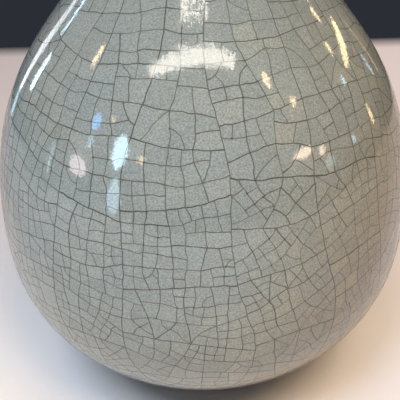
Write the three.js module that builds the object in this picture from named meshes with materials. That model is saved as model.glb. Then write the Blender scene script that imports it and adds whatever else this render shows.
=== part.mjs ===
// Pear-shaped bottle vase: thrown stoneware sections, luted together with slip, under a celadon glaze.
// Millimetres, +Z up. The origin is the centre of the foot ring's underside.

import * as THREE from "three";

// Heights of the finished outer surface, stacked from the ground up
const FOOT_HEIGHT = 6;
const BELLY_RISE = 63;
const SHOULDER_RISE = 148;
const FLARE_RISE = 66;

// Radii of the finished outer surface
const FOOT_RADIUS = 38.5;
const FOOT_FLARE = 1.5;
const BELLY_RADIUS = 80;
const NECK_RADIUS = 19;
const MOUTH_RADIUS = 37;

// Directions and fullness of the outer curve: a fullness is a curve handle as a share of its rise
const FOOT_SPREAD_ANGLE = 31;
const MOUTH_ANGLE = 42;
const FOOT_FULLNESS = 0.37;
const BELLY_FULLNESS_BELOW = 0.53;
const BELLY_FULLNESS_ABOVE = 0.6;
const NECK_FULLNESS_BELOW = 0.46;
const NECK_FULLNESS_ABOVE = 0.5;
const MOUTH_FULLNESS = 0.32;

// Clay wall, floor and turned foot ring
const WALL_AT_FOOT = 6;
const WALL_AT_LIP = 2.6;
const FLOOR_THICKNESS = 6.5;
const FLOOR_FILLET = 3;
const FOOT_RING_WIDTH = 6.5;
const FOOT_CHAMFER = 0.9;
const FOOT_DRAFT = 1.2;
const RECESS_DEPTH = 4;

// Glaze coats
const OUTER_GLAZE = 0.8;
const INNER_GLAZE = 0.5;
const LIP_GLAZE = 0.35;
const BASE_GLAZE = 0.5;
const BASE_GLAZE_MARGIN = 1.5;

// Luted seams: the rim of the lower section is bevelled, higher on the inside, so that the next one
// sits over it
const SLIP_THICKNESS = 0.6;
const SEAM_BEVEL = 3;
const NECK_SEAM_DROP = 44;

// Facets: around the axis, along each stretch of the curve on either face of the wall, round a quarter of the
// lip and across the floor
const FACETS_AROUND = 36;
const OUTSIDE_STEPS = [8, 12, 8];
const INSIDE_STEPS = [4, 6, 5];
const LIP_STEPS = 3;
const FLOOR_STEPS = 3;

const MATERIALS = {
  glaze: new THREE.MeshStandardMaterial({ color: 0x9ca59b, roughness: 0.12, metalness: 0 }),
  stoneware: new THREE.MeshStandardMaterial({ color: 0x6e4a37, roughness: 0.85, metalness: 0 }),
  slip: new THREE.MeshStandardMaterial({ color: 0x8a6a54, roughness: 0.9, metalness: 0 }),
};

const point = (radius, height) => new THREE.Vector2(radius, height);
const heading = (degrees) => {
  const radians = THREE.MathUtils.degToRad(degrees);
  return point(Math.cos(radians), Math.sin(radians));
};

// The outer curve runs in three stretches through the foot, the belly, the neck and the mouth.
// A station is a place along it: 0 at the foot, 1 at the belly, 2 at the neck, 3 at the mouth.
const BELLY_HEIGHT = FOOT_HEIGHT + BELLY_RISE;
const NECK_HEIGHT = BELLY_HEIGHT + SHOULDER_RISE;
const MOUTH_HEIGHT = NECK_HEIGHT + FLARE_RISE;

function outerCurves() {
  const foot = point(FOOT_RADIUS + FOOT_FLARE, FOOT_HEIGHT);
  const belly = point(BELLY_RADIUS, BELLY_HEIGHT);
  const neck = point(NECK_RADIUS, NECK_HEIGHT);
  const mouth = point(MOUTH_RADIUS, MOUTH_HEIGHT);
  const up = point(0, 1);
  const handle = (from, direction, length) => from.clone().addScaledVector(direction, length);
  return [
    new THREE.CubicBezierCurve(
      foot,
      handle(foot, heading(FOOT_SPREAD_ANGLE), FOOT_FULLNESS * BELLY_RISE),
      handle(belly, up, -BELLY_FULLNESS_BELOW * BELLY_RISE),
      belly,
    ),
    new THREE.CubicBezierCurve(
      belly,
      handle(belly, up, BELLY_FULLNESS_ABOVE * SHOULDER_RISE),
      handle(neck, up, -NECK_FULLNESS_BELOW * SHOULDER_RISE),
      neck,
    ),
    new THREE.CubicBezierCurve(
      neck,
      handle(neck, up, NECK_FULLNESS_ABOVE * FLARE_RISE),
      handle(mouth, heading(MOUTH_ANGLE), -MOUTH_FULLNESS * FLARE_RISE),
      mouth,
    ),
  ];
}

const CURVES = outerCurves();
const LAST_STATION = CURVES.length;

function outerAt(station) {
  const index = Math.min(Math.floor(station), CURVES.length - 1);
  const along = CURVES[index].getTangent(station - index);
  return {
    place: CURVES[index].getPoint(station - index),
    along,
    outward: point(along.y, -along.x),
  };
}

function below(station, depth) {
  const { place, outward } = outerAt(station);
  return place.clone().addScaledVector(outward, -depth);
}

function wallAt(station) {
  const share = (outerAt(station).place.y - FOOT_HEIGHT) / (MOUTH_HEIGHT - FOOT_HEIGHT);
  return THREE.MathUtils.lerp(WALL_AT_FOOT, WALL_AT_LIP, share);
}

// The surfaces of the vase, each as a point for a station
const glazeFace = (station) => below(station, 0);
const clayOutside = (station) => below(station, OUTER_GLAZE);
const clayInside = (station) => below(station, OUTER_GLAZE + wallAt(station));
const liningFace = (station) => below(station, OUTER_GLAZE + wallAt(station) + INNER_GLAZE);

function stationAtHeight(surface, height) {
  let low = 0;
  let high = LAST_STATION;
  const HALVINGS = 40;
  for (let i = 0; i < HALVINGS; i += 1) {
    const middle = (low + high) / 2;
    if (surface(middle).y < height) {
      low = middle;
    } else {
      high = middle;
    }
  }
  return (low + high) / 2;
}

// Seams between the sections: stations of the slip's lower and upper edge on each face of the wall
function seamAt(height) {
  return {
    outside: [height, height + SLIP_THICKNESS].map((z) => stationAtHeight(clayOutside, z)),
    inside: [height, height + SLIP_THICKNESS].map((z) => stationAtHeight(clayInside, z + SEAM_BEVEL)),
  };
}

const BELLY_SEAM = seamAt(BELLY_HEIGHT);
const NECK_SEAM = seamAt(NECK_HEIGHT - NECK_SEAM_DROP);

const stationsOf = (stepsPerCurve) =>
  stepsPerCurve.flatMap((steps, curve) => Array.from({ length: steps }, (_, i) => curve + i / steps));

// Every piece that meets a face of the clay wall takes its points there from one list: the edges of the seams
// and the curve's own stations that aren't too close to them
const SEAM_MARGIN = 0.03;

function stationsWithSeams(stations, seamEdges) {
  const clearOfSeams = (station) => seamEdges.every((edge) => Math.abs(edge - station) > SEAM_MARGIN);
  return [...stations.filter(clearOfSeams), ...seamEdges].sort((a, b) => a - b);
}

const GLAZE_STATIONS = [...stationsOf(OUTSIDE_STEPS), LAST_STATION];
const OUTSIDE_STATIONS = stationsWithSeams(
  stationsOf(OUTSIDE_STEPS),
  [...BELLY_SEAM.outside, ...NECK_SEAM.outside],
);
const INSIDE_STATIONS = stationsWithSeams(
  stationsOf(INSIDE_STEPS),
  [...BELLY_SEAM.inside, ...NECK_SEAM.inside],
);

function stationsBetween(from, to, stations) {
  return [from, ...stations.filter((station) => station > from && station < to), to];
}

const outside = (from, to) => stationsBetween(from, to, OUTSIDE_STATIONS).map(clayOutside);
const inside = (from, to) => stationsBetween(from, to, INSIDE_STATIONS).map(clayInside);

// The floor inside: it leaves the wall a fillet above the floor and runs level to the axis
const FLOOR_HEIGHT = RECESS_DEPTH + FLOOR_THICKNESS;
const FLOOR_STATION = stationAtHeight(clayInside, FLOOR_HEIGHT + FLOOR_FILLET);

function floorPoints(lift) {
  const start = clayInside(FLOOR_STATION);
  const { along } = outerAt(FLOOR_STATION);
  const corner = point(start.x - (FLOOR_FILLET * along.x) / along.y, FLOOR_HEIGHT);
  const curve = new THREE.QuadraticBezierCurve(start, corner, point(0, FLOOR_HEIGHT));
  const points = [];
  for (let i = 1; i <= FLOOR_STEPS; i += 1) {
    const inward = curve.getTangent(i / FLOOR_STEPS);
    points.push(curve.getPoint(i / FLOOR_STEPS).addScaledVector(point(inward.y, -inward.x), lift));
  }
  points.at(-1).x = 0;
  return points;
}

// The rounded lip: a quarter turn from one face of the wall to the lip's crown
function lipQuarter(face, faceGlaze, crownGlaze) {
  const { along, outward } = outerAt(LAST_STATION);
  const sideways = face === "outside" ? outward : outward.clone().negate();
  const middle = below(LAST_STATION, OUTER_GLAZE + WALL_AT_LIP / 2);
  const across = WALL_AT_LIP / 2 + faceGlaze;
  const forward = WALL_AT_LIP / 2 + crownGlaze;
  const points = [];
  for (let i = 1; i <= LIP_STEPS; i += 1) {
    const turn = ((i / LIP_STEPS) * Math.PI) / 2;
    const p = middle.clone().addScaledVector(sideways, across * Math.cos(turn));
    points.push(p.addScaledVector(along, forward * Math.sin(turn)));
  }
  return points;
}

const reversed = (points) => [...points].reverse();

// A solid of revolution from a profile that runs with the material on its left
function revolved(name, material, profile) {
  const onAxis = profile[0].x === 0 && profile.at(-1).x === 0;
  const outline = onAxis ? profile : [...profile, profile[0]];
  const geometry = new THREE.LatheGeometry(outline, FACETS_AROUND);
  geometry.rotateX(Math.PI / 2);
  const mesh = new THREE.Mesh(geometry, material);
  mesh.name = name;
  return mesh;
}

function lowerBody() {
  const ringInside = FOOT_RADIUS - FOOT_RING_WIDTH;
  return revolved("lower_body", MATERIALS.stoneware, [
    point(0, RECESS_DEPTH),
    point(ringInside - FOOT_DRAFT, RECESS_DEPTH),
    point(ringInside, FOOT_CHAMFER),
    point(ringInside + FOOT_CHAMFER, 0),
    point(FOOT_RADIUS - FOOT_CHAMFER, 0),
    point(FOOT_RADIUS, FOOT_CHAMFER),
    ...outside(0, BELLY_SEAM.outside[0]),
    ...reversed(inside(FLOOR_STATION, BELLY_SEAM.inside[0])),
    ...floorPoints(0),
  ]);
}

function upperBody() {
  return revolved("upper_body", MATERIALS.stoneware, [
    ...outside(BELLY_SEAM.outside[1], NECK_SEAM.outside[0]),
    ...reversed(inside(BELLY_SEAM.inside[1], NECK_SEAM.inside[0])),
  ]);
}

function neck() {
  return revolved("neck", MATERIALS.stoneware, [
    ...outside(NECK_SEAM.outside[1], LAST_STATION),
    ...lipQuarter("outside", 0, 0),
    ...reversed(lipQuarter("inside", 0, 0)).slice(1),
    ...reversed(inside(NECK_SEAM.inside[1], LAST_STATION)),
  ]);
}

function lutingSlip(name, seam) {
  return revolved(name, MATERIALS.slip, [
    ...seam.outside.map(clayOutside),
    ...reversed(seam.inside.map(clayInside)),
  ]);
}

function outerGlaze() {
  return revolved("outer_glaze", MATERIALS.glaze, [
    ...GLAZE_STATIONS.map(glazeFace),
    ...lipQuarter("outside", OUTER_GLAZE, LIP_GLAZE),
    ...reversed(lipQuarter("outside", 0, 0)),
    ...reversed(outside(0, LAST_STATION)),
  ]);
}

function innerGlaze() {
  const wallStations = stationsBetween(FLOOR_STATION, LAST_STATION, INSIDE_STATIONS);
  return revolved("inner_glaze", MATERIALS.glaze, [
    ...reversed(floorPoints(0)),
    ...inside(FLOOR_STATION, LAST_STATION),
    ...lipQuarter("inside", 0, 0),
    ...reversed(lipQuarter("inside", INNER_GLAZE, LIP_GLAZE)),
    ...reversed(wallStations.map(liningFace)),
    ...floorPoints(INNER_GLAZE),
  ]);
}

function baseGlaze() {
  const radius = FOOT_RADIUS - FOOT_RING_WIDTH - FOOT_DRAFT - BASE_GLAZE_MARGIN;
  return revolved("base_glaze", MATERIALS.glaze, [
    point(0, RECESS_DEPTH - BASE_GLAZE),
    point(radius - BASE_GLAZE, RECESS_DEPTH - BASE_GLAZE),
    point(radius, RECESS_DEPTH),
    point(0, RECESS_DEPTH),
  ]);
}

const vase = new THREE.Group();
vase.add(
  lowerBody(),
  lutingSlip("belly_luting_slip", BELLY_SEAM),
  upperBody(),
  lutingSlip("neck_luting_slip", NECK_SEAM),
  neck(),
  outerGlaze(),
  innerGlaze(),
  baseGlaze(),
);

export default vase;
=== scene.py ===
"""Dresses the bottle vase: a crackled celadon glaze over a turned stoneware body, on a pale floor.

Lengths are in metres in the frame's own axes, and sizes that are easier to read in millimetres are
written as a number times MM. Angles among the constants are in degrees. Turns are angles about +Z,
with 0 facing the camera and growing to the right.
"""

import math

import bpy
import numpy as np
from mathutils import Matrix, Vector, noise


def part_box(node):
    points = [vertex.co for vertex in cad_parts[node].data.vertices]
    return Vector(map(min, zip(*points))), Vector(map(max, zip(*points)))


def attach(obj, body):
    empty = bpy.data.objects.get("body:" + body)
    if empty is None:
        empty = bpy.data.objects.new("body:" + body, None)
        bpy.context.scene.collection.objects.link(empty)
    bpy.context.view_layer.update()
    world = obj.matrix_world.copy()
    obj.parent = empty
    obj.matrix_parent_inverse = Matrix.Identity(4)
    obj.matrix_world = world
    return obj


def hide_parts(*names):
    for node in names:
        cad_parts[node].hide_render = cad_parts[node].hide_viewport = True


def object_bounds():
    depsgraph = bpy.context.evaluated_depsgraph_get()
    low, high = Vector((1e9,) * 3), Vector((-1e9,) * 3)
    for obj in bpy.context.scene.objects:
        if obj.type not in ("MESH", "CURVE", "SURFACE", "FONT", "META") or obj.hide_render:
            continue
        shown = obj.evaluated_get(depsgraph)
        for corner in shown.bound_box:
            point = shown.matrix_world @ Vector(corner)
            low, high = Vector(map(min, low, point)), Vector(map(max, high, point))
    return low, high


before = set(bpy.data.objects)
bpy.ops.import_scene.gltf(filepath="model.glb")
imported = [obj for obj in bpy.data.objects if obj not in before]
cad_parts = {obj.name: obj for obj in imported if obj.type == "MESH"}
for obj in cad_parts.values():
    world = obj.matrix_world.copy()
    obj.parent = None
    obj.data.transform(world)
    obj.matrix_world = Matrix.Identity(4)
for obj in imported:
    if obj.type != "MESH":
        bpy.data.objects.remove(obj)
cad_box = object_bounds()

MM = 0.001
ROUND = 2 * math.pi
SEED = 8

# Camera, fitted to the outline of the belly and shoulder
FRAME_WIDTH_PX = 400
FOCAL_LENGTH_PX = 600
SENSOR_WIDTH = 36
CAMERA_DISTANCE = 253 * MM
CAMERA_PITCH = 31
CAMERA_ROLL = -1.45
CAMERA_NEAR = 10 * MM
AIM_HEIGHT = 68.5 * MM
AIM_SIDE = -1.41 * MM

# Meshes
ON_PLANE = 0.001 * MM
SECTION_PLACES = 7
CORNER_TURN = 38
SHARP_EDGE_TURN = 35
GLAZE_COLUMNS = 320
CLAY_COLUMNS = 144
GLAZE_STEP = 1.6 * MM
LIP_CUTS = 3
HIDDEN_STEP = 8 * MM
HIDDEN_CUTS = 2
FOOT_STEP = 0.3 * MM

# Glaze surface: it lies a hair inside the solid, so that the crack lines on it stay inside too
GLAZE_SINK = 0.106 * MM
GLAZE_ROLL = 1.6 * MM
GLAZE_ROLL_DEPTH = 0.6 * MM

# Turned foot
FOOT_TOP = 6.5 * MM
TURNING_PITCH = 0.9 * MM
TURNING_DEPTH = 0.05 * MM

# Long cracks, which wander from the foot to the mouth and part the skin into strips
LONG_CRACKS = 17
LONG_CRACK_PHASE = 0.3
LONG_CRACK_OFFSET = 0.14
LONG_CRACK_STEP = 2.5 * MM
LONG_CRACK_WANDER = 5 * MM
LONG_CRACK_WANDER_SHARES = (0.6, 1.3)
LONG_CRACK_WAVES = (70 * MM, 190 * MM)
FULL_WANDER_RADIUS = 60 * MM
MOUTH_CRACK_DEPTH = 48 * MM

# Cells: a strip is split until they are about this large, and larger on the shoulder and at the foot
CELL_AREA = 22.5 * MM * MM
CELL_AREA_SPREAD = 0.12
SHOULDER_GROWTH = 1.0
SHOULDER_HEIGHTS = (92 * MM, 150 * MM)
FOOT_GROWTH = 0.4
FOOT_HEIGHTS = (28 * MM, 62 * MM)
CELL_ZONE_SIZE = 55 * MM
CELL_ZONE_STRENGTH = 0.08
CELL_SLENDERNESS = 1.5
SLENDER_LEAST = 0.75
SPLIT_TRIES = 4
LEAST_SHARE = 0.3

# Cracks across a cell: their direction and place, and how often they run on from a neighbour's crack
OWN_AXES_SHARE = 0.36
ANGLE_SPREAD = 10
OFF_CENTRE = 0.08
CROSSING_SHARE = 0.7
CROSSING_REACH = 0.55
CROSSING_WORTH = 0.1
EDGE_PULL = 0.3
SQUARENESS = 0.4

# Zones where the cells lean over: from which value of the zone's noise on, how far, and which cells
LEAN_SHIFT = 123
LEAN_FREE = 0.12
LEAN_RANGE = 0.3
LEAN_LARGEST = 42
LEAN_CELLS = 24
LEAN_EARLY = 0.35

# Cracks round a corner of a cell
CORNER_SHARE = 0.14
CORNER_CELLS = 2
CORNER_TURNS = (60, 125)
CORNER_REACH = (0.55, 0.78)
CORNER_LEAST_SHARE = 0.13
CORNER_SQUARENESS = 0.8

# Paths of cracks: their points are rounded, so that every run makes the same choices
CRACK_STEP = 2 * MM
CRACK_LEAST_POINTS = 3
CRACK_SWAY = 0.012
CRACK_BOW = 0.04
CRACK_JITTER = 0.11 * MM
CRACK_SAG = 0.08 * MM
CRACK_PLACES = 9
ON_RIM = 0.1 * MM
NO_LENGTH = 1e-12
NO_SQUARE = 1e-18

# Crack lines: wedges let into the glaze, wider at their ends, some with a spot of stain at the start
CRACK_TOP = 0.08 * MM
CRACK_DEPTH = 0.32 * MM
CRACK_WIDTHS = (0.32 * MM, 0.305 * MM, 0.295 * MM, 0.28 * MM)
CRACK_AGES = (2, 4, 7)
CRACK_KIND_SHIFTS = (-1, 0, 0, 1)
CRACK_WIDTH_SPREAD = 0.12
CRACK_SWELL = 0.15
CRACK_SWELLS = 2
CRACK_END_GROWTH = 0.25
CRACK_END_POWER = 3
STAIN_SHARE = 0.2
STAIN_RADIUS = (0.22 * MM, 0.36 * MM)
STAIN_TOP = 0.065 * MM
STAIN_SIDES = 8
STAIN_UPWARD_MOST = 0.8
ANY_DIRECTION = (0.3, 0.5, 0.8)
BASE_CRACK_MARGIN = 0.6 * MM
BASE_RIM_CORNERS = 72

# Colours, as 8-bit sRGB
CELADON = (163, 172, 165)
CELADON_WARM = (172, 171, 153)
CELADON_COOL = (155, 166, 163)
CELADON_POOL = (140, 152, 139)
# A warm brown that paints shade on the right and low down
PAINTED_WARM_SHADE = (138, 124, 92)
LIP_BROWN = (136, 118, 92)
BUBBLE = (214, 220, 208)
IRON_SPOT = (92, 84, 66)
CRACK_COLOURS = ((90, 92, 82), (99, 101, 92), (107, 110, 100), (115, 119, 109))
CLAY = (122, 92, 70)
CLAY_DARK = (84, 62, 48)
CLAY_GRIT = (168, 142, 116)
SLIP = (140, 112, 88)
FLOOR_LEFT = (253, 245, 236)
FLOOR_RIGHT = (254, 250, 252)
FLOOR_SHADE = (245, 240, 237)
# Painted shade on the floor at the back, deeper on the left
FLOOR_PAINTED_SHADE_LEFT = (211, 200, 193)
FLOOR_PAINTED_SHADE_RIGHT = (244, 229, 220)
FLOOR_EDGE = (50, 52, 61)
WALL = (44, 46, 54)
DAYLIGHT = (198, 234, 255)
BLUE_LIGHT = (112, 192, 255)
LAMPLIGHT = (255, 222, 168)
PEACH_LIGHT = (255, 224, 198)
PINK_LIGHT = (250, 232, 240)
STREAK_LIGHT = (236, 242, 250)
CEILING_LIGHT = (255, 248, 236)
COOL_BOX = (197, 221, 255)
WARM_BOX = (255, 221, 178)

# Noise keeps mostly to this span
NOISE_SPAN = (0.3, 0.7)

# Celadon mottling: cool clouds and warm patches
CLOUD_SIZE = 42 * MM
CLOUD_SPAN = (0.35, 0.65)
PATCH_SIZE = 70 * MM
PATCH_SPAN = (0.52, 0.72)
PATCH_MOST = 0.45

# Warm cells, mostly on the right
WARM_TINTS = (0.5, 2.0)
WARM_SIDES = (-10 * MM, 40 * MM)
WARM_SHARES = (0.1, 0.55)

# Painted warm shade on the right, which fades at the rim, behind and on the shoulder, and more painted
# warm shade low down
WARM_SHADE_SIDES = (8 * MM, 58 * MM)
WARM_SHADE_MOST = 0.84
WARM_SHADE_RIM = 76 * MM
WARM_SHADE_AT_RIM = 0.32
WARM_SHADE_DEPTHS = (-25 * MM, 35 * MM)
WARM_SHADE_BEHIND = 0.25
WARM_SHADE_HEIGHTS = (92 * MM, 130 * MM)
WARM_SHADE_ABOVE = 0.48
LOW_SHADE_HEIGHTS = (80 * MM, 35 * MM)
LOW_SHADE_MOST = 0.55
LOW_SHADE_SIDES = (-55 * MM, 40 * MM)
LOW_SHADE_LEFT = 0.1

# Glaze pooled above the foot, and run thin at the lip; the lip's band is measured down from the top
POOL_TOP = 12 * MM
POOL_MOST = 0.8
LIP_BAND = (2.67 * MM, 0.27 * MM)
LIP_GRAIN_SIZE = 3 * MM
LIP_LEAST = 0.5

# Light and dark in the glaze: by cell and by grain, and painted shade up the shoulder
TINT_SPAN = (-2.2, 2.2)
TINT_LEVELS = (0.92, 1.08)
SPECKLE_SIZE = 0.48 * MM
SPECKLE_LEVELS = (0.72, 1.28)
SHADED_HEIGHTS = (115 * MM, 165 * MM)
SHADED_LEVEL = 0.81

# Bubbles and iron spots: the radii, from rim to core, are shares of the spacing
BUBBLE_SPACING = 1.6 * MM
BUBBLE_RADII = (0.2, 0.05)
BUBBLE_MOST = 0.22
IRON_SPACING = 17 * MM
IRON_RADII = (0.022, 0.012)
IRON_MOST = 0.7

# Gloss of the glaze
GLOSS_SIZE = 0.6 * MM
GLOSS_SPAN = (0.45, 0.62)
GLOSS_ROUGHNESS = (0.03, 0.09)
CRACK_ROUGHNESS = 0.06
GLAZE_IOR = 1.5
PEEL_SIZE = 5 * MM
PEEL_DEPTH = 0.03 * MM
FACET_SIZE = 0.36 * MM
FACET_TILT = 0.8

# Bare clay
CLAY_CLOUD_SIZE = 9 * MM
CLAY_CLOUD_SPAN = (0.35, 0.7)
GRIT_SIZE = 0.6 * MM
GRIT_SPAN = (0.6, 0.72)
GRIT_MOST = 0.7
CLAY_DRY_SIZE = 2 * MM
CLAY_ROUGHNESS = (0.6, 0.85)
CLAY_GRAIN_SIZE = 0.5 * MM
CLAY_GRAIN_DEPTH = 0.08 * MM

# Floor, with painted shade towards the back, which fades at its far edge
FLOOR_SIDE = 1.1
FLOOR_FRONT = -1.1
FLOOR_BACK = 0.463
FLOOR_FADE = 0.037
FLOOR_NEAR_SIDE = 100 * MM
FLOOR_PAINTED_SHADE_SIDE = 250 * MM
FLOOR_PAINTED_SHADE_DEPTHS = (-20 * MM, 140 * MM)
FLOOR_CLOUD_SIZE = 60 * MM
FLOOR_CLOUDS = (0.0, 0.5)
FLOOR_GRAIN_SIZE = 1.2 * MM
FLOOR_GRAIN_DEPTH = 0.1 * MM
FLOOR_ROUGHNESS = 0.8

# Soft light from behind, as linear RGBA
SKY_BACK = (0.35, 0.35, 0.35, 1)
SKY_ALL = (0.015, 0.022, 0.055, 1)
SKY_SPAN = (0.3, 1.0)

# Lamps face the belly, apart from the ceiling's, which face down
BELLY = (0, 0, 0.12)
SOFT_BOX_SIZE = (0.7, 0.7)
SOFT_BOX_DISTANCE = 1.6
SOFT_BOX_RISE = 62
CEILING = 1.3

# Soft boxes as turn, radiance and colour: they light the piece but don't show in its gloss
SOFT_BOXES = {
    "soft_box_left": (-45, 9.8, COOL_BOX),
    "soft_box_right": (45, 9.4, WARM_BOX),
}

# Panels as place, size and radiance: they light the piece and show in its gloss
CEILING_PANELS = {
    "ceiling_panel": ((-0.11, -0.64), (1.08, 0.125), 14.1),
    "ceiling_panel_near": ((-0.07, -0.455), (0.34, 0.045), 15),
}
BACK_PANEL = ((0, 1.3, 0.75), (0.9, 0.35), 3)

# Windows and small lamps as place, size, radiance and colour: they only show in the gloss
GLINTS = {
    "left_strip_back": ((-0.92, 0.89, 0.32), (0.13, 0.56), 4, STREAK_LIGHT),
    "left_strip_foot": ((-0.93, 0.9, -0.02), (0.1, 0.3), 2.2, DAYLIGHT),
    "left_strip_high": ((-0.98, 0.7, 0.64), (0.035, 0.24), 14, DAYLIGHT),
    "left_strip_low": ((-1.085, 0.67, 0.35), (0.075, 0.26), 18, DAYLIGHT),
    "left_window": ((-0.868, -0.832, 0.585), (0.18, 0.32), 20, DAYLIGHT),
    "left_window_low": ((-0.915, -0.905, 0.19), (0.15, 0.34), 8, DAYLIGHT),
    "left_glint_warm": ((-1.01, -0.02, 0.94), (0.045, 0.13), 24, LAMPLIGHT),
    "left_glint_blue": ((-1.055, -0.48, 0.7), (0.115, 0.15), 12, BLUE_LIGHT),
    "left_glint_low": ((-1.11, -0.525, 0.54), (0.055, 0.12), 9, DAYLIGHT),
    "left_glint_pink": ((-1.19, -0.48, 0.295), (0.24, 0.17), 9, PINK_LIGHT),
    "left_glint_edge": ((-1.29, -0.08, 0.18), (0.03, 0.26), 6, DAYLIGHT),
    "left_glint_high": ((-0.92, -0.62, 0.8), (0.05, 0.05), 14, LAMPLIGHT),
    "left_glint_front": ((-0.67, -1.01, 0.585), (0.07, 0.08), 11, LAMPLIGHT),
    "right_strip": ((1.085, 0.55, 0.56), (0.37, 0.08), 13, LAMPLIGHT),
    "right_lamp": ((1.015, -0.72, 0.47), (0.25, 0.075), 16, PEACH_LIGHT),
    "right_lamp_high": ((0.705, -0.55, 1.06), (0.048, 0.13), 24, LAMPLIGHT),
    "right_glint_top": ((1.03, 0.48, 0.755), (0.038, 0.065), 18, LAMPLIGHT),
    "right_glint_back": ((1.105, 0.32, 0.72), (0.04, 0.08), 16, LAMPLIGHT),
    "right_glint_front": ((0.945, -0.505, 0.855), (0.08, 0.08), 20, LAMPLIGHT),
    "right_glint_low": ((1.16, -0.52, 0.395), (0.09, 0.075), 13, PEACH_LIGHT),
    "right_strip_back": ((0.93, 0.9, 0.24), (0.04, 0.36), 1.3, LAMPLIGHT),
    "right_glint_edge": ((1.035, 0.77, 0.26), (0.03, 0.15), 4, DAYLIGHT),
    "right_glint_side": ((1.245, 0.36, 0.225), (0.05, 0.15), 9, LAMPLIGHT),
    "right_glint_small": ((1.195, 0.22, 0.58), (0.04, 0.07), 11, DAYLIGHT),
    "right_glint_pale": ((1.29, -0.055, 0.26), (0.06, 0.06), 8, DAYLIGHT),
    "right_glint_blue": ((1.2, -0.48, 0.265), (0.14, 0.11), 3, DAYLIGHT),
}


def srgb(colour):
    """An 8-bit sRGB colour as linear RGBA."""
    linear = []
    for value in colour:
        share = value / 255
        linear.append(share / 12.92 if share <= 0.04045 else ((share + 0.055) / 1.055) ** 2.4)
    return (*linear, 1.0)


# Sections read from the solids

def section_chain(node):
    """The node's section in the half plane x = 0, y < 0: its corners as (radius, height), in order.

    A section that ends on the axis starts there at its lowest point. A closed one starts at its lowest
    corner. Both run up the outside first.
    """
    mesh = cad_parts[node].data
    links = {}
    for edge in mesh.edges:
        ends = [mesh.vertices[index].co for index in edge.vertices]
        if any(abs(end.x) > ON_PLANE or end.y > ON_PLANE for end in ends):
            continue
        first, second = (
            (abs(round(end.y, SECTION_PLACES)), round(end.z, SECTION_PLACES)) for end in ends
        )
        if first != second:
            links.setdefault(first, set()).add(second)
            links.setdefault(second, set()).add(first)
    start = min(links, key=lambda point: (point[0] > 0, point[1]))
    chain = [start, max(links[start])]
    while True:
        onward = [point for point in links[chain[-1]] if point != chain[-2]]
        if not onward:
            return chain
        chain.append(onward[0])
        if onward[0] == start:
            return chain


class SmoothLine:
    """A natural cubic spline through section points, measured along the chords between them."""

    def __init__(self, points):
        self.points = np.array(points)
        self.steps = np.linalg.norm(np.diff(self.points, axis=0), axis=1)
        self.stops = np.concatenate([[0.0], np.cumsum(self.steps)])
        self.length = self.stops[-1]
        self.bends = self._bends()

    def _bends(self):
        """Second derivatives at the points."""
        count = len(self.points)
        matrix = np.eye(count)
        target = np.zeros((count, 2))
        slopes = np.diff(self.points, axis=0) / self.steps[:, None]
        for i in range(1, count - 1):
            before, after = self.steps[i - 1], self.steps[i]
            matrix[i, i - 1 : i + 2] = before, 2 * (before + after), after
            target[i] = 6 * (slopes[i] - slopes[i - 1])
        return np.linalg.solve(matrix, target)

    def _span(self, where):
        """The stretch that each distance falls in: its ends, their bends, its step and two parts."""
        where = np.asarray(where, dtype=float)
        i = np.clip(np.searchsorted(self.stops, where, side="right") - 1, 0, len(self.steps) - 1)
        step = self.steps[i][..., None]
        done = where[..., None] - self.stops[i][..., None]
        ends = (self.points[i], self.points[i + 1])
        bends = (self.bends[i], self.bends[i + 1])
        return *ends, *bends, step, done, step - done

    def at(self, where):
        """Points (radius, height) at the given distances along the line."""
        a, b, bend_a, bend_b, step, done, left = self._span(where)
        curve = (bend_a * left**3 + bend_b * done**3) / (6 * step)
        return curve + (a / step - bend_a * step / 6) * left + (b / step - bend_b * step / 6) * done

    def outward(self, where):
        """Unit normals in the section, to the right of the line's direction."""
        a, b, bend_a, bend_b, step, done, left = self._span(where)
        curve = (bend_b * done**2 - bend_a * left**2) / (2 * step)
        slope = curve + (b - a) / step - (bend_b - bend_a) * step / 6
        slope /= np.linalg.norm(slope, axis=-1, keepdims=True)
        return np.stack([slope[..., 1], -slope[..., 0]], axis=-1)

    def cut(self, longest, least):
        """Distances along the line, with every stretch cut into at least this many steps."""
        parts = [np.zeros(1)]
        for start, step in zip(self.stops, self.steps):
            count = max(least, math.ceil(step / longest))
            parts.append(start + step * np.arange(1, count + 1) / count)
        return np.concatenate(parts)


def smooth_runs(chain):
    """The chain as smooth lines, parted at its sharp corners."""
    runs = [[chain[0]]]
    for before, corner, after in zip(chain, chain[1:], chain[2:]):
        runs[-1].append(corner)
        legs = ((before, corner), (corner, after))
        headings = [math.atan2(b[1] - a[1], b[0] - a[0]) for a, b in legs]
        turn = abs((headings[1] - headings[0] + math.pi) % ROUND - math.pi)
        if turn > math.radians(CORNER_TURN):
            runs.append([corner])
    runs[-1].append(chain[-1])
    return [SmoothLine(run) for run in runs]


# Meshes of revolution

def ring(rows, turns):
    """Points in space for section rows at the given turns."""
    rows = np.asarray(rows)
    radius, height = rows[..., 0], rows[..., 1]
    return np.stack([radius * np.sin(turns), -radius * np.cos(turns), height], axis=-1)


def new_object(name, points, faces):
    """An object with a new mesh."""
    mesh = bpy.data.meshes.new(name)
    mesh.from_pydata(points, [], faces)
    mesh.validate()
    obj = bpy.data.objects.new(name, mesh)
    bpy.context.collection.objects.link(obj)
    return obj


def shade_smooth(mesh):
    """Smooth shading, apart from the sharp edges."""
    mesh.polygons.foreach_set("use_smooth", [True] * len(mesh.polygons))
    mesh.set_sharp_from_angle(angle=math.radians(SHARP_EDGE_TURN))


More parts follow.
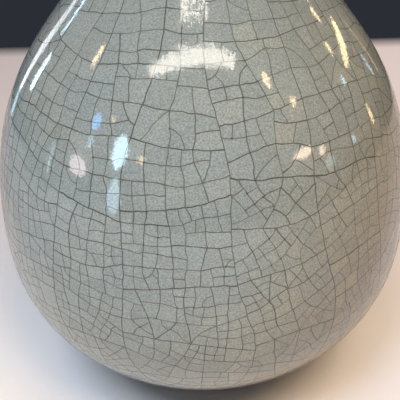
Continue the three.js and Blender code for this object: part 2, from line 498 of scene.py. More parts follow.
def lathe(name, rows, columns):
    """A closed mesh of revolution. The rows end on the axis, or the last is joined to the first."""
    on_axis = [row[0] < ON_PLANE for row in rows]
    points, places = [], []
    turns = ROUND * np.arange(columns) / columns
    for row, single in zip(rows, on_axis):
        first = len(points)
        if single:
            points.append((0.0, 0.0, row[1]))
            places.append([first] * columns)
        else:
            points.extend(ring(np.tile(row, (columns, 1)), turns).tolist())
            places.append(list(range(first, first + columns)))
    pairs = list(zip(places, places[1:]))
    if not any(on_axis):
        pairs.append((places[-1], places[0]))
    faces = []
    for low, high in pairs:
        for j in range(columns):
            k = (j + 1) % columns
            corners = dict.fromkeys((low[j], low[k], high[k], high[j]))
            faces.append(tuple(corners))
    obj = new_object(name, points, faces)
    shade_smooth(obj.data)
    return obj, places


def closed_rows(parts):
    """Rows of consecutive parts, without the points that neighbours share."""
    rows = [parts[0]]
    for part in parts[1:]:
        rows.append(part[1:])
    rows = np.concatenate(rows)
    if np.linalg.norm(rows[-1] - rows[0]) < ON_PLANE:
        rows = rows[:-1]
    return rows


def hidden_part(line):
    """Rows of a line that only needs coarse steps."""
    return line.at(line.cut(HIDDEN_STEP, HIDDEN_CUTS))


# The skin that the crackle covers: up the outside, over the lip and down the lining

outer_runs = smooth_runs(section_chain("outer_glaze"))
inner_runs = smooth_runs(section_chain("inner_glaze"))
outside = outer_runs[0]
lining = inner_runs[-1]
skin = SmoothLine(np.concatenate([outside.points, lining.points[1:]]))
lip_crown = skin.stops[len(outside.points) - 1]
crackle_end = lip_crown + MOUTH_CRACK_DEPTH


# Crackle: cells of (distance, turn) corners, parted by one crack at a time

class SkinChart:
    """Lays corners on the skin out flat around a middle turn, with true areas."""

    def __init__(self, corners):
        self.middle = (corners[:, 1].min() + corners[:, 1].max()) / 2

    def flatten(self, corners):
        """Flat points for corners of (distance, turn)."""
        across = (corners[:, 1] - self.middle) * skin.at(corners[:, 0])[:, 0]
        return np.column_stack([across, corners[:, 0]])

    def unflatten(self, flat):
        """Corners of (distance, turn) for flat points."""
        return np.column_stack([flat[:, 1], self.middle + flat[:, 0] / skin.at(flat[:, 1])[:, 0]])

    @staticmethod
    def place(corners):
        """The point in space in the middle of the corners."""
        middle = corners.mean(axis=0)
        return ring(skin.at(middle[0]), middle[1])


class FlatChart:
    """The same for corners that are flat already."""

    def __init__(self, corners):
        """Takes the corners as the other chart does, and needs nothing from them."""

    def flatten(self, corners):
        return corners

    def unflatten(self, flat):
        return flat

    @staticmethod
    def place(corners):
        return (*corners.mean(axis=0), 0.0)


def moments(flat):
    """Area and centre of a flat polygon, and the spread of its area about the centre."""
    after = np.roll(flat, -1, axis=0)
    cross = flat[:, 0] * after[:, 1] - after[:, 0] * flat[:, 1]
    area = cross.sum() / 2
    centre = ((flat + after) * cross[:, None]).sum(axis=0) / (6 * area)
    a, b = flat - centre, after - centre
    cross = a[:, 0] * b[:, 1] - b[:, 0] * a[:, 1]
    spread = np.einsum("n,ni,nj->ij", cross, a, a) + np.einsum("n,ni,nj->ij", cross, b, b)
    spread += np.einsum("n,ni,nj->ij", cross, a + b, a + b)
    return abs(area), centre, spread / (24 * area)


def half_length(spread, axis):
    """Half the length along an axis of the rectangle with this spread."""
    return math.sqrt(3 * abs(axis @ spread @ axis))


def turned(direction, angle):
    """A flat direction turned to the left."""
    c, s = math.cos(angle), math.sin(angle)
    return np.array([c * direction[0] - s * direction[1], s * direction[0] + c * direction[1]])


def crossing(flat, start, direction):
    """Where a line through the start leaves the polygon each way: the edge's index and the point."""
    after = np.roll(flat, -1, axis=0)
    normal = turned(direction, math.pi / 2)
    side, side_after = (np.round((p - start) @ normal, CRACK_PLACES) for p in (flat, after))
    edges = np.nonzero((side > 0) != (side_after > 0))[0]
    share = side[edges] / (side[edges] - side_after[edges])
    points = flat[edges] + (after[edges] - flat[edges]) * share[:, None]
    reach = (points - start) @ direction
    if not (reach > 0).any() or not (reach < 0).any():
        return None
    ahead = np.argmin(np.where(reach > 0, reach, np.inf))
    behind = np.argmax(np.where(reach < 0, reach, -np.inf))
    return [(edges[i], points[i]) for i in (behind, ahead)]


def edge_square(flat, edge, towards):
    """The direction square to an edge, on the side that a crack goes towards."""
    along = flat[(edge + 1) % len(flat)] - flat[edge]
    square = turned(along / (np.linalg.norm(along) + NO_LENGTH), math.pi / 2)
    return square if square @ towards > 0 else -square


def crack_path(flat, ends, squareness, rng):
    """A gently bowed crack between two edges of a cell, which it meets more or less squarely."""
    (edge_a, a), (edge_b, b) = ends
    length = np.linalg.norm(b - a)
    ahead = (b - a) / length
    reach = length / 3
    leave = a + (squareness * edge_square(flat, edge_a, ahead) + (1 - squareness) * ahead) * reach
    arrive = b + (squareness * edge_square(flat, edge_b, -ahead) - (1 - squareness) * ahead) * reach
    count = max(CRACK_LEAST_POINTS, math.ceil(length / CRACK_STEP) + 1)
    share = np.linspace(0, 1, count)[:, None]
    rest = 1 - share
    path = a * rest**3 + 3 * leave * rest**2 * share + 3 * arrive * rest * share**2 + b * share**3
    bow = rng.normal(0, CRACK_BOW) * np.sin(ROUND * share / 2)
    sway = rng.normal(0, CRACK_SWAY) * np.sin(ROUND * share)
    jitter = rng.normal(0, CRACK_JITTER, share.shape)
    path += turned(ahead, math.pi / 2) * (length * (bow + sway) + jitter)
    path[0], path[-1] = a, b
    return path


def rim_gap(flat, point):
    """How far a point lies from the polygon's rim."""
    along = np.roll(flat, -1, axis=0) - flat
    squares = np.maximum((along**2).sum(axis=1), NO_SQUARE)
    share = np.clip(((point - flat) * along).sum(axis=1) / squares, 0, 1)
    return np.linalg.norm(flat + along * share[:, None] - point, axis=1).min()


def neighbour_joint(flat, joints, start, direction, reach):
    """Where a neighbour's crack ends on the cell's rim near the line through the start, or None."""
    offsets = np.abs((joints - start) @ turned(direction, math.pi / 2))
    for i in np.argsort(offsets):
        if offsets[i] > reach:
            break
        if rim_gap(flat, joints[i]) < ON_RIM:
            return joints[i]
    return None


def across_ends(flat, axes, count, joints, rng):
    """Where a crack across a cell for this many cells starts and ends, and if it crosses another."""
    _, centre, spread = moments(flat)
    if rng.uniform() < OWN_AXES_SHARE:
        axes = np.linalg.eigh(spread)[1].T
    long_axis = max(axes, key=lambda axis: half_length(spread, axis))
    half = half_length(spread, long_axis)
    direction = turned(long_axis, math.pi / 2 + rng.normal(0, math.radians(ANGLE_SPREAD)))
    uneven = (count % 2) / count * rng.choice((-1, 1))
    start = centre + long_axis * half * (uneven + rng.normal(0, OFF_CENTRE))
    joint = neighbour_joint(flat, joints, start, direction, CROSSING_REACH * half)
    crosses = joint is not None and rng.uniform() < CROSSING_SHARE
    if crosses:
        start = joint
    ends = crossing(flat, start + direction * ((centre - start) @ direction), direction)
    if ends is None:
        return None, crosses
    direction = direction + EDGE_PULL * sum(edge_square(flat, edge, direction) for edge, _ in ends)
    direction /= np.linalg.norm(direction)
    return crossing(flat, start + direction * ((centre - start) @ direction), direction), crosses


def along_rim(flat, corner, step, reach):
    """The edge and the point at a distance along the rim from a corner, forward or back."""
    count = len(flat)
    here = corner
    while True:
        onward = (here + step) % count
        length = np.linalg.norm(flat[onward] - flat[here])
        if length >= reach or onward == corner:
            break
        reach -= length
        here = onward
    edge = here if step > 0 else onward
    return edge, flat[here] + (flat[onward] - flat[here]) * min(reach / (length + NO_LENGTH), 1)


def corner_ends(flat, rng):
    """Where a crack round a cell's corner starts and ends, or None if no corner is square enough."""
    legs = flat - np.roll(flat, 1, axis=0)
    headings = np.arctan2(legs[:, 1], legs[:, 0])
    turns = np.degrees((np.roll(headings, -1) - headings + math.pi) % ROUND - math.pi)
    square = np.nonzero((np.abs(turns) > CORNER_TURNS[0]) & (np.abs(turns) < CORNER_TURNS[1]))[0]
    if not len(square):
        return None
    corner = rng.choice(square)
    side = math.sqrt(moments(flat)[0])
    return [along_rim(flat, corner, step, side * rng.uniform(*CORNER_REACH)) for step in (-1, 1)]


def compactness(flat):
    """1 for a round cell, about 0.8 for a square one and little for a sliver."""
    rim = np.linalg.norm(np.roll(flat, -1, axis=0) - flat, axis=1).sum()
    return 2 * ROUND * moments(flat)[0] / rim**2


def split(corners, axes, count, joints, rng, chart):
    """Parts a cell for the given count of cells, across its longer axis or round a corner.

    Of several tries it takes the one with the most compact parts, and rather one that crosses another
    crack. Gives the crack and the two parts.
    """
    flat = np.round(chart.flatten(corners), CRACK_PLACES)
    area = moments(flat)[0]
    low, high = corners.min(axis=0) - ON_RIM, corners.max(axis=0) + ON_RIM
    joints = chart.flatten(joints[((joints >= low) & (joints <= high)).all(axis=1)])
    cuts_corner = count <= CORNER_CELLS and rng.uniform() < CORNER_SHARE
    best, best_worth = None, 0
    for _ in range(SPLIT_TRIES):
        if cuts_corner:
            ends, crosses = corner_ends(flat, rng), False
            squareness, least = CORNER_SQUARENESS, CORNER_LEAST_SHARE
        else:
            ends, crosses = across_ends(flat, axes, count, joints, rng)
            squareness, least = SQUARENESS, LEAST_SHARE
        if ends is None or ends[0][0] == ends[1][0]:
            continue
        path = crack_path(flat, ends, squareness, rng)
        if ends[0][0] > ends[1][0]:
            ends, path = ends[::-1], path[::-1]
        low, high = ends[0][0], ends[1][0]
        first = np.concatenate([flat[: low + 1], path, flat[high + 1 :]])
        second = np.concatenate([path[::-1], flat[low + 1 : high + 1]])
        worth = min(compactness(first), compactness(second)) + CROSSING_WORTH * crosses
        if worth > best_worth and min(moments(first)[0], moments(second)[0]) > least * area:
            best, best_worth = (path, first, second), worth
    return best and [np.round(chart.unflatten(piece), CRACK_PLACES) for piece in best]


def zone(place, shift):
    """A smooth value from about -1 to 1 that changes slowly over the surface."""
    return noise.noise(Vector(place) / CELL_ZONE_SIZE + Vector((shift, shift, shift)))


def pattern_axes(place, count):
    """The two directions of the pattern for a cell that holds this many cells.

    In some zones they lean over, and less so for a large cell.
    """
    value = zone(place, LEAN_SHIFT)
    share = min(max(abs(value) - LEAN_FREE, 0) / LEAN_RANGE, 1)
    if count > LEAN_CELLS:
        share *= LEAN_EARLY
    lean = math.copysign(math.radians(LEAN_LARGEST) * share, value)
    return [turned(axis, lean) for axis in np.eye(2)]


def cell_area(place):
    """The usual area of a cell at a place."""
    shoulder = np.interp(place[2], SHOULDER_HEIGHTS, (0, SHOULDER_GROWTH))
    foot = np.interp(place[2], FOOT_HEIGHTS, (FOOT_GROWTH, 0))
    return CELL_AREA * (1 + shoulder + foot) * math.exp(CELL_ZONE_STRENGTH * zone(place, 0))


def crackle(cells, chart_kind, rng):
    """Splits the cells until they are small. Gives the cracks as (path, age) and the finished cells."""
    waiting = [(cell, 1) for cell in cells]
    cracks, finished = [], []
    joints = np.empty((0, 2))
    while waiting:
        corners, age = waiting.pop()
        chart = chart_kind(corners)
        area, _, spread = moments(chart.flatten(corners))
        place = chart.place(corners)
        goal = cell_area(place) * math.exp(rng.normal(0, CELL_AREA_SPREAD))
        count = round(area / goal)
        axes = pattern_axes(place, count)
        halves = [half_length(spread, axis) for axis in axes]
        if max(halves) > CELL_SLENDERNESS * min(halves) and area > SLENDER_LEAST * goal:
            count = max(count, 2)
        parts = split(corners, axes, count, joints, rng, chart) if count > 1 else None
        if parts is None:
            finished.append(corners)
            continue
        cracks.append((parts[0], age))
        joints = np.concatenate([joints, parts[0][[0, -1]]])
        waiting.extend((part, age + 1) for part in parts[1:])
    return cracks, finished


def long_cracks(rng):
    """Wandering cracks from the foot to the inside of the mouth."""
    where = np.linspace(0, crackle_end, math.ceil(crackle_end / LONG_CRACK_STEP) + 1)
    ease = np.minimum(skin.at(where)[:, 0] / FULL_WANDER_RADIUS, 1)
    paths = []
    for i in range(LONG_CRACKS):
        offset = rng.uniform(-LONG_CRACK_OFFSET, LONG_CRACK_OFFSET)
        turn = ROUND * (i + LONG_CRACK_PHASE + offset) / LONG_CRACKS
        shift = np.zeros_like(where)
        for wave in LONG_CRACK_WAVES:
            size = LONG_CRACK_WANDER * wave / sum(LONG_CRACK_WAVES)
            size *= rng.uniform(*LONG_CRACK_WANDER_SHARES)
            shift += size * np.sin(ROUND * (where / wave + rng.uniform()))
        shift += rng.normal(0, CRACK_JITTER, len(where))
        paths.append(np.column_stack([where, turn + shift * ease / FULL_WANDER_RADIUS]))
    return paths


def strip_cells(paths):
    """The cells between neighbouring long cracks."""
    cells = []
    for i, left in enumerate(paths):
        right = paths[(i + 1) % len(paths)].copy()
        if i == len(paths) - 1:
            right[:, 1] += ROUND
        cells.append(np.concatenate([left, right[::-1]])[::-1])
    return cells


def on_skin(path):
    """A path's points and normals in space."""
    where, turns = path.T
    return ring(skin.at(where), turns), ring(skin.outward(where), turns)


def follow_curve(path):
    """The path with points added where the skin curves, so that a crack's face stays on it."""
    points, normals = on_skin(path)
    chords = np.linalg.norm(np.diff(points, axis=0), axis=1)
    turns = np.arccos(np.clip((normals[1:] * normals[:-1]).sum(axis=1), -1, 1))
    counts = np.maximum(1, np.ceil(np.sqrt(turns * chords / CRACK_SAG))).astype(int)
    parts = [path[:1]]
    for a, b, count in zip(path, path[1:], counts):
        parts.append(a + (b - a) * (np.arange(1, count + 1) / count)[:, None])
    return np.concatenate(parts)


def skin_path(path):
    """Points and normals in space of a path that follows the skin's curve."""
    return on_skin(follow_curve(path))


class CrackMesh:
    """Gathers closed wedges, one for each crack, and small round spots."""

    def __init__(self):
        self.points, self.faces, self.classes = [], [], []

    def _add(self, points, faces, kind):
        """Takes in faces of one kind, with their own points."""
        first = len(self.points)
        self.points.extend(points.tolist())
        self.faces.extend(tuple(first + corner for corner in face) for face in faces)
        self.classes.extend([kind] * len(faces))

    def wedge(self, middle, normals, widths, kind):
        """A crack with a flat face on the surface and an edge below it."""
        heading = np.gradient(middle, axis=0)
        side = np.cross(heading, normals)
        side /= np.linalg.norm(side, axis=1, keepdims=True)
        face = middle - normals * CRACK_TOP
        half = side * widths[:, None] / 2
        count = len(middle)
        edge = middle - normals * CRACK_DEPTH
        points = np.stack([face - half, face + half, edge], axis=1).reshape(-1, 3)
        faces = [(0, 1, 2), (3 * count - 1, 3 * count - 2, 3 * count - 3)]
        for i in range(count - 1):
            for a, b in ((0, 1), (1, 2), (2, 0)):
                faces.append((3 * i + b, 3 * i + a, 3 * i + 3 + a, 3 * i + 3 + b))
        self._add(points, faces, kind)

    def spot(self, middle, normal, radius, kind):
        """A small round pit, filled with stain."""
        side = np.cross(normal, ANY_DIRECTION)
        side /= np.linalg.norm(side)
        other = np.cross(normal, side)
        turns = ROUND * np.arange(STAIN_SIDES) / STAIN_SIDES
        rim = np.outer(np.cos(turns), side) + np.outer(np.sin(turns), other)
        top = middle - normal * STAIN_TOP + rim * radius
        points = np.concatenate([top, [middle - normal * CRACK_DEPTH]])
        faces = [tuple(range(STAIN_SIDES))]
        faces += [((i + 1) % STAIN_SIDES, i, STAIN_SIDES) for i in range(STAIN_SIDES)]
        self._add(points, faces, kind)

    def finish(self, name, materials):
        """The gathered faces as an object, with one material for each kind of crack."""
        obj = new_object(name, self.points, self.faces)
        for material in materials:
            obj.data.materials.append(material)
        obj.data.polygons.foreach_set("material_index", self.classes)
        shade_smooth(obj.data)
        return obj


def crack_kind(age, rng):
    """Which stain a crack holds: an older one mostly holds a darker stain."""
    kind = sum(age > limit for limit in CRACK_AGES) + rng.choice(CRACK_KIND_SHIFTS)
    return min(max(kind, 0), len(CRACK_COLOURS) - 1)


def crack_mesh(cracks, points_of, rng):
    """All cracks as one mesh. points_of gives a path's points and normals in space."""
    made = CrackMesh()
    for path, age in cracks:
        middle, normals = points_of(path)
        kind = crack_kind(age, rng)
        width = CRACK_WIDTHS[kind] * math.exp(rng.normal(0, CRACK_WIDTH_SPREAD))
        share = np.linspace(0, 1, len(middle))
        widths = width * (1 + CRACK_SWELL * np.sin(ROUND * (CRACK_SWELLS * share + rng.uniform())))
        widths *= 1 + CRACK_END_GROWTH * np.abs(2 * share - 1) ** CRACK_END_POWER
        made.wedge(middle, normals, widths, kind)
        if rng.uniform() < STAIN_SHARE and normals[0][2] < STAIN_UPWARD_MOST:
            made.spot(middle[0], normals[0], rng.uniform(*STAIN_RADIUS), 0)
    return made


def inside_polygon(points, corners):
    """Which of the points lie inside the polygon."""
    after = np.roll(corners, -1, axis=0)
    x, y = points[:, :1], points[:, 1:]
    spans = (corners[:, 1] > y) != (after[:, 1] > y)
    rise = np.where(after[:, 1] == corners[:, 1], 1.0, after[:, 1] - corners[:, 1])
    meets = corners[:, 0] + (y - corners[:, 1]) * (after[:, 0] - corners[:, 0]) / rise
    return (spans & (x < meets)).sum(axis=1) % 2 == 1


def cell_tints(cells, where, columns, rng):
    """A tint for each point of a grid of distances and columns: one value for each cell."""
    tints = np.zeros((len(where), columns))
    for corners in cells:
        tint = rng.normal()
        low, high = corners.min(axis=0), corners.max(axis=0)
        rows = np.nonzero((where >= low[0]) & (where <= high[0]))[0]
        first, last = math.ceil(low[1] * columns / ROUND), math.floor(high[1] * columns / ROUND)
        steps = np.arange(first, last + 1)
        if not len(rows) or not len(steps):
            continue
        grid_rows, grid_steps = [axis.ravel() for axis in np.meshgrid(rows, steps, indexing="ij")]
        places = np.column_stack([where[grid_rows], grid_steps * ROUND / columns])
        held = inside_polygon(places, corners)
        tints[grid_rows[held], grid_steps[held] % columns] = tint
    return tints


# Materials

def feed(tree, node, inputs):
    """Sets or links a node's inputs."""
    for key, value in inputs.items():
        if isinstance(value, bpy.types.NodeSocket):
            tree.links.new(value, node.inputs[key])
        else:
            node.inputs[key].default_value = value


def add(tree, kind, inputs=None, **settings):
    """A new node with its settings and inputs."""
    node = tree.nodes.new(kind)
    for key, value in settings.items():
        setattr(node, key, value)
    feed(tree, node, inputs or {})
    return node


def mixed(tree, factor, a, b, blend="MIX"):
    """A colour mix. The two colours are the node's inputs 6 and 7."""
    inputs = {0: factor, 6: a, 7: b}
    return add(tree, "ShaderNodeMix", inputs, data_type="RGBA", blend_type=blend).outputs[2]


def ranged(tree, value, span, held=(0.0, 1.0)):
    """A value carried from one span to another, and held at its ends."""
    inputs = {0: value, 1: span[0], 2: span[1], 3: held[0], 4: held[1]}
    return add(tree, "ShaderNodeMapRange", inputs).outputs[0]


def times(tree, *values):
    """A product of values."""
    product = values[0]
    for value in values[1:]:
        product = add(tree, "ShaderNodeMath", {0: product, 1: value}, operation="MULTIPLY").outputs[0]
    return product


def vectors(tree, operation, *values):
    """A vector node's result."""
    return add(tree, "ShaderNodeVectorMath", dict(enumerate(values)), operation=operation).outputs[0]


def grain(tree, place, size, detail=2.0):
    """Noise with features of about the given size."""
    inputs = {"Vector": place, "Scale": 1 / size, "Detail": detail}
    return add(tree, "ShaderNodeTexNoise", inputs).outputs["Fac"]


def scattered(tree, place, spacing):
    """Scattered points: the distance to the nearest as a share of the spacing, and its own colour."""
    node = add(tree, "ShaderNodeTexVoronoi", {"Vector": place, "Scale": 1 / spacing})
    return node.outputs["Distance"], node.outputs["Color"]


def bumped(tree, height, distance):
    """A normal for a height from 0 to 1, which stands for the given distance."""
    inputs = {"Height": height, "Distance": distance, "Strength": 1.0}
    return add(tree, "ShaderNodeBump", inputs).outputs["Normal"]


def faceted(tree, place, size, tilt, normal):
    """Tiny facets, each turned its own way: most of them hardly, a few by up to the given angle."""
    _, colours = scattered(tree, place, size)
    lean = vectors(tree, "MULTIPLY_ADD", colours, (2, 2, 2), (-1, -1, -1))
    cube = vectors(tree, "MULTIPLY", vectors(tree, "MULTIPLY", lean, lean), lean)
    slope = math.tan(math.radians(tilt))
    return vectors(tree, "NORMALIZE", vectors(tree, "MULTIPLY_ADD", cube, (slope,) * 3, normal))


def new_material(name):
    """A plain Principled material, its node tree, its shader and its object coordinates."""
    material = bpy.data.materials.new(name)
    material.use_nodes = True
    tree = material.node_tree
    place = add(tree, "ShaderNodeTexCoord").outputs["Object"]
    return material, tree, tree.nodes["Principled BSDF"], place


def glaze_colour(tree, place, tint):
    """Mottled grey-green: warm cells, painted warm shade on the right and low down, a pool above the
    foot, a thin brown lip and painted shade up the shoulder.
    """
    side, away, height = add(tree, "ShaderNodeSeparateXYZ", {0: place}).outputs
    clouds = ranged(tree, grain(tree, place, CLOUD_SIZE, 3.0), CLOUD_SPAN)
    colour = mixed(tree, clouds, srgb(CELADON_COOL), srgb(CELADON))
    patches = ranged(tree, grain(tree, place, PATCH_SIZE), PATCH_SPAN, (0.0, PATCH_MOST))
    colour = mixed(tree, patches, colour, srgb(CELADON_WARM))
    warmth = times(tree, ranged(tree, tint, WARM_TINTS), ranged(tree, side, WARM_SIDES, WARM_SHARES))
    colour = mixed(tree, warmth, colour, srgb(CELADON_WARM))
    # Painted warm shade on the right of the front
    warm_shade = times(
        tree,
        ranged(tree, side, WARM_SHADE_SIDES, (0.0, WARM_SHADE_MOST)),
        ranged(tree, side, (WARM_SHADE_SIDES[1], WARM_SHADE_RIM), (1.0, WARM_SHADE_AT_RIM)),
        ranged(tree, away, WARM_SHADE_DEPTHS, (1.0, WARM_SHADE_BEHIND)),
        ranged(tree, height, WARM_SHADE_HEIGHTS, (1.0, WARM_SHADE_ABOVE)),
    )
    colour = mixed(tree, warm_shade, colour, srgb(PAINTED_WARM_SHADE))
    # Painted warm shade low down, most of it on the right
    low_shade = times(
        tree,
        ranged(tree, height, LOW_SHADE_HEIGHTS, (0.0, LOW_SHADE_MOST)),
        ranged(tree, side, LOW_SHADE_SIDES, (LOW_SHADE_LEFT, 1.0)),
    )
    colour = mixed(tree, low_shade, colour, srgb(PAINTED_WARM_SHADE))
    pool = ranged(tree, height, (POOL_TOP, FOOT_TOP), (0.0, POOL_MOST))
    colour = mixed(tree, pool, colour, srgb(CELADON_POOL))
    top = cad_box[1][2]
    lip = times(
        tree,
        ranged(tree, height, [top - drop for drop in LIP_BAND]),
        ranged(tree, grain(tree, place, LIP_GRAIN_SIZE), NOISE_SPAN, (LIP_LEAST, 1.0)),
    )
    colour = mixed(tree, lip, colour, srgb(LIP_BROWN))
    # Cell tint and grain, times painted shade up the shoulder and neck
    level = times(
        tree,
        ranged(tree, tint, TINT_SPAN, TINT_LEVELS),
        ranged(tree, grain(tree, place, SPECKLE_SIZE, 3.0), NOISE_SPAN, SPECKLE_LEVELS),
        ranged(tree, height, SHADED_HEIGHTS, (1.0, SHADED_LEVEL)),
    )
    levels = add(tree, "ShaderNodeCombineColor", {0: level, 1: level, 2: level}).outputs[0]
    return mixed(tree, 1.0, colour, levels, "MULTIPLY")


def celadon_material():
    """Crackled celadon, with fine bubbles and a few iron spots in the depth."""
    material, tree, shader, place = new_material("celadon_glaze")
    tint = add(tree, "ShaderNodeAttribute", attribute_name="cell_tint").outputs["Fac"]
    colour = glaze_colour(tree, place, tint)
    bubbles, _ = scattered(tree, place, BUBBLE_SPACING)
    colour = mixed(tree, ranged(tree, bubbles, BUBBLE_RADII, (0.0, BUBBLE_MOST)), colour, srgb(BUBBLE))
    spots, _ = scattered(tree, place, IRON_SPACING)
    colour = mixed(tree, ranged(tree, spots, IRON_RADII, (0.0, IRON_MOST)), colour, srgb(IRON_SPOT))
    roughness = ranged(tree, grain(tree, place, GLOSS_SIZE, 1.0), GLOSS_SPAN, GLOSS_ROUGHNESS)
    peel = bumped(tree, grain(tree, place, PEEL_SIZE, 1.0), PEEL_DEPTH)
    peel = faceted(tree, place, FACET_SIZE, FACET_TILT, peel)
    inputs = {"Base Color": colour, "Roughness": roughness, "Normal": peel, "IOR": GLAZE_IOR}
    feed(tree, shader, inputs)
    return material


def crack_materials():
    """Stain in the cracks: dark in the old ones, greyer in the young."""
    made = []
    for number, colour in enumerate(CRACK_COLOURS, 1):
        material, tree, shader, _ = new_material(f"crack_stain_{number}")
        inputs = {"Base Color": srgb(colour), "Roughness": CRACK_ROUGHNESS, "IOR": GLAZE_IOR}
        feed(tree, shader, inputs)
        made.append(material)
    return made


def clay_material(name, colour):
    """Bare fired stoneware: iron-brown, gritty, with a dry face."""
    material, tree, shader, place = new_material(name)
    clouds = ranged(tree, grain(tree, place, CLAY_CLOUD_SIZE, 4.0), CLAY_CLOUD_SPAN)
    mix = mixed(tree, clouds, srgb(colour), srgb(CLAY_DARK))
    grit = ranged(tree, grain(tree, place, GRIT_SIZE), GRIT_SPAN, (0.0, GRIT_MOST))
    mix = mixed(tree, grit, mix, srgb(CLAY_GRIT))
    roughness = ranged(tree, grain(tree, place, CLAY_DRY_SIZE), NOISE_SPAN, CLAY_ROUGHNESS)
    normal = bumped(tree, grain(tree, place, CLAY_GRAIN_SIZE, 3.0), CLAY_GRAIN_DEPTH)
    feed(tree, shader, {"Base Color": mix, "Roughness": roughness, "Normal": normal})
    return material


def floor_material():
    """A plain pale floor with painted shade at the back, deeper on the left, and fading to the wall at
    its far edge.
    """
    material, tree, shader, place = new_material("pale_floor")
    side, away, _ = add(tree, "ShaderNodeSeparateXYZ", {0: place}).outputs
    near_share = ranged(tree, side, (-FLOOR_NEAR_SIDE, FLOOR_NEAR_SIDE))
    colour = mixed(tree, near_share, srgb(FLOOR_LEFT), srgb(FLOOR_RIGHT))
    clouds = ranged(tree, grain(tree, place, FLOOR_CLOUD_SIZE, 3.0), NOISE_SPAN, FLOOR_CLOUDS)
    colour = mixed(tree, clouds, colour, srgb(FLOOR_SHADE))
    # Painted shade at the back of the floor, deeper on the left
    shade_side_share = ranged(tree, side, (-FLOOR_PAINTED_SHADE_SIDE, FLOOR_PAINTED_SHADE_SIDE))
    far = mixed(tree, shade_side_share, srgb(FLOOR_PAINTED_SHADE_LEFT), srgb(FLOOR_PAINTED_SHADE_RIGHT))
    colour = mixed(tree, ranged(tree, away, FLOOR_PAINTED_SHADE_DEPTHS), colour, far)
    edge = ranged(tree, away, (FLOOR_BACK - FLOOR_FADE, FLOOR_BACK))
    colour = mixed(tree, edge, colour, srgb(FLOOR_EDGE))
    normal = bumped(tree, grain(tree, place, FLOOR_GRAIN_SIZE), FLOOR_GRAIN_DEPTH)
    feed(tree, shader, {"Base Color": colour, "Roughness": FLOOR_ROUGHNESS, "Normal": normal})
    return material


# Pieces

def place_piece(obj, node=None):
    """Fixes a piece to the vase, in place of a solid if it has one."""
    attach(obj, "root")
    if node:
        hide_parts(node)


def glaze_piece(name, node, where, hidden_lines, hidden_first, cells, material, rng):
    """A glaze layer: its fine face on the skin, closed by the plain faces against the clay."""
    sink = np.full(len(where), GLAZE_SINK)
    foot = np.clip(1 - where / GLAZE_ROLL, 0, 1)
    sink += GLAZE_ROLL_DEPTH * (1 - np.sqrt(1 - foot**2))
    face = skin.at(where) - skin.outward(where) * sink[:, None]
    face[face[:, 0] < GLAZE_SINK, 0] = 0
    hidden = [hidden_part(line) for line in hidden_lines]
    hidden[-1][-1] = face[0]
    if not hidden_first:
        hidden[0][0] = face[-1]
    rows = closed_rows([*hidden, face] if hidden_first else [face, *hidden])
    obj, places = lathe(name, rows, GLAZE_COLUMNS)
    first = len(rows) - len(face) if hidden_first else 0
    values = np.zeros(len(obj.data.vertices), dtype=np.float32)
    tints = cell_tints(cells, where, GLAZE_COLUMNS, rng)
    for row, tint in zip(places[first:], tints):
        values[row] = tint
    attribute = obj.data.attributes.new("cell_tint", "FLOAT", "POINT")
    attribute.data.foreach_set("value", values)
    obj.data.materials.append(material)
    place_piece(obj, node)


def clay_piece(name, node, material):
    """A clay piece with a smooth section. Low down it carries the fine ridges of turning."""
    parts = []
    for line in smooth_runs(section_chain(node)):
        if line.points[:, 1].max() > FOOT_TOP:
            parts.append(hidden_part(line))
            continue
        where = line.cut(FOOT_STEP, HIDDEN_CUTS)
        fade = np.minimum(1, np.minimum(where, line.length - where) / TURNING_PITCH)
        depth = TURNING_DEPTH * fade * (0.5 - 0.5 * np.cos(ROUND * where / TURNING_PITCH))
        parts.append(line.at(where) - line.outward(where) * depth[:, None])
    obj, _ = lathe(name, closed_rows(parts), CLAY_COLUMNS)
    obj.data.materials.append(material)
    place_piece(obj, node)


def base_piece(material, rng):
    """The glazed disc under the base, and the cracks on its face."""
    runs = smooth_runs(section_chain("base_glaze"))
    rows = closed_rows([hidden_part(line) for line in runs])
    low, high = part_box("base_glaze")
    rows[:, 1] = np.maximum(rows[:, 1], low.z + GLAZE_SINK)
    obj, _ = lathe("base_glaze_disc", rows, CLAY_COLUMNS)
    obj.data.materials.append(material)
    place_piece(obj, "base_glaze")
    radius = high.x - BASE_CRACK_MARGIN
    turns = ROUND * np.arange(BASE_RIM_CORNERS) / BASE_RIM_CORNERS
    rim = radius * np.column_stack([np.cos(turns), np.sin(turns)])

    def lifted(path):
        """Points and normals in space of a path on the disc's face."""
        points = np.column_stack([path, np.full(len(path), low.z)])
        return points, np.tile((0.0, 0.0, -1.0), (len(path), 1))

    cracks, _ = crackle([rim], FlatChart, rng)
    return crack_mesh(cracks, lifted, rng)


rng = np.random.default_rng(SEED)
primary = long_cracks(rng)
skin_cracks, skin_cells = crackle(strip_cells(primary), SkinChart, rng)
skin_cracks += [(path, 0) for path in primary]

celadon = celadon_material()
stains = crack_materials()
stoneware = clay_material("bare_stoneware", CLAY)
slip = clay_material("luting_slip", SLIP)

rows_where = skin.cut(GLAZE_STEP, LIP_CUTS)
outer_where = rows_where[rows_where <= lip_crown]
inner_where = rows_where[rows_where >= lip_crown]
glaze_piece(
    "outer_glaze_coat", "outer_glaze", outer_where, outer_runs[1:], False, skin_cells, celadon, rng
)
glaze_piece(
    "inner_glaze_lining", "inner_glaze", inner_where, inner_runs[:-1], True, skin_cells, celadon, rng
)

lines = crack_mesh(skin_cracks, skin_path, rng).finish("crackle_lines", stains)
place_piece(lines)
base_lines = base_piece(celadon, rng).finish("base_crackle_lines", stains)
place_piece(base_lines)

clay_piece("lower_body_clay", "lower_body", stoneware)
clay_piece("upper_body_clay", "upper_body", stoneware)
clay_piece("neck_clay", "neck", stoneware)
clay_piece("belly_slip_ring", "belly_luting_slip", slip)
clay_piece("neck_slip_ring", "neck_luting_slip", slip)


# Stage, light and camera

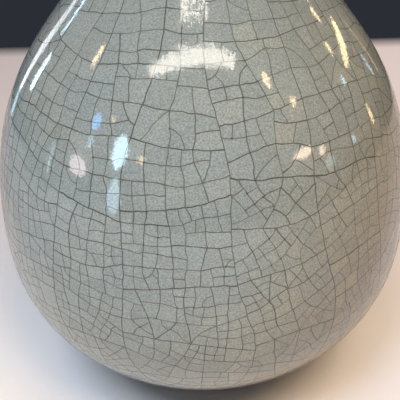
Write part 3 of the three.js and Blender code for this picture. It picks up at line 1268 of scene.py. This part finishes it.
def panel(name, place, aim, size, radiance, colour, shape="RECTANGLE"):
    """A soft lamp of the given size and radiance, turned to face a point."""
    lamp = bpy.data.lights.new(name, "AREA")
    lamp.shape = shape
    lamp.size, lamp.size_y = size
    fill = math.pi / 4 if shape == "ELLIPSE" else 1
    lamp.energy = radiance * math.pi * size[0] * size[1] * fill
    lamp.color = srgb(colour)[:3]
    obj = bpy.data.objects.new(name, lamp)
    obj.location = place
    obj.rotation_euler = (Vector(aim) - Vector(place)).to_track_quat("-Z", "Y").to_euler()
    obj.visible_camera = False
    bpy.context.collection.objects.link(obj)
    return obj


corners = [(x, y, 0) for y in (FLOOR_FRONT, FLOOR_BACK) for x in (-FLOOR_SIDE, FLOOR_SIDE)]
floor = new_object("floor", corners, [(0, 1, 3, 2)])
floor.data.materials.append(floor_material())

for name, (turn, radiance, colour) in SOFT_BOXES.items():
    rise = math.radians(SOFT_BOX_RISE)
    row = (SOFT_BOX_DISTANCE * math.cos(rise), BELLY[2] + SOFT_BOX_DISTANCE * math.sin(rise))
    box = panel(name, ring(row, math.radians(turn)), BELLY, SOFT_BOX_SIZE, radiance, colour)
    box.visible_glossy = False

for name, (place, size, radiance) in CEILING_PANELS.items():
    panel(name, (*place, CEILING), (*place, 0), size, radiance, CEILING_LIGHT)
place, size, radiance = BACK_PANEL
panel("back_panel", place, BELLY, size, radiance, CEILING_LIGHT)

for name, (place, size, radiance, colour) in GLINTS.items():
    panel(name, place, BELLY, size, radiance, colour, "ELLIPSE").visible_diffuse = False

world = bpy.data.worlds.new("studio")
world.use_nodes = True
sky = world.node_tree
direction = add(sky, "ShaderNodeTexCoord").outputs["Generated"]
_, along, _ = add(sky, "ShaderNodeSeparateXYZ", {0: direction}).outputs
glow = mixed(sky, ranged(sky, along, SKY_SPAN), SKY_ALL, SKY_BACK)
ray = add(sky, "ShaderNodeLightPath").outputs
seen = ray["Is Camera Ray"]
for kind in ("Is Glossy Ray", "Is Transmission Ray"):
    seen = add(sky, "ShaderNodeMath", {0: seen, 1: ray[kind]}, operation="MAXIMUM").outputs[0]
backdrop = mixed(sky, seen, glow, srgb(WALL))
feed(sky, sky.nodes["Background"], {"Color": backdrop, "Strength": 1.0})
bpy.context.scene.world = world

pitch = math.radians(CAMERA_PITCH)
camera_data = bpy.data.cameras.new("camera")
camera_data.sensor_width = SENSOR_WIDTH
camera_data.lens = SENSOR_WIDTH * FOCAL_LENGTH_PX / FRAME_WIDTH_PX
camera_data.clip_start = CAMERA_NEAR
camera = bpy.data.objects.new("camera", camera_data)
bpy.context.collection.objects.link(camera)
back, up = math.cos(pitch) * CAMERA_DISTANCE, math.sin(pitch) * CAMERA_DISTANCE
stand = Vector((AIM_SIDE, -back, AIM_HEIGHT + up))
roll = Matrix.Rotation(math.radians(CAMERA_ROLL), 4, "Z")
look = Matrix.Rotation(math.pi / 2 - pitch, 4, "X") @ roll
camera.matrix_world = Matrix.Translation(stand) @ look
bpy.context.scene.camera = camera
bpy.context.scene.view_settings.view_transform = "Standard"
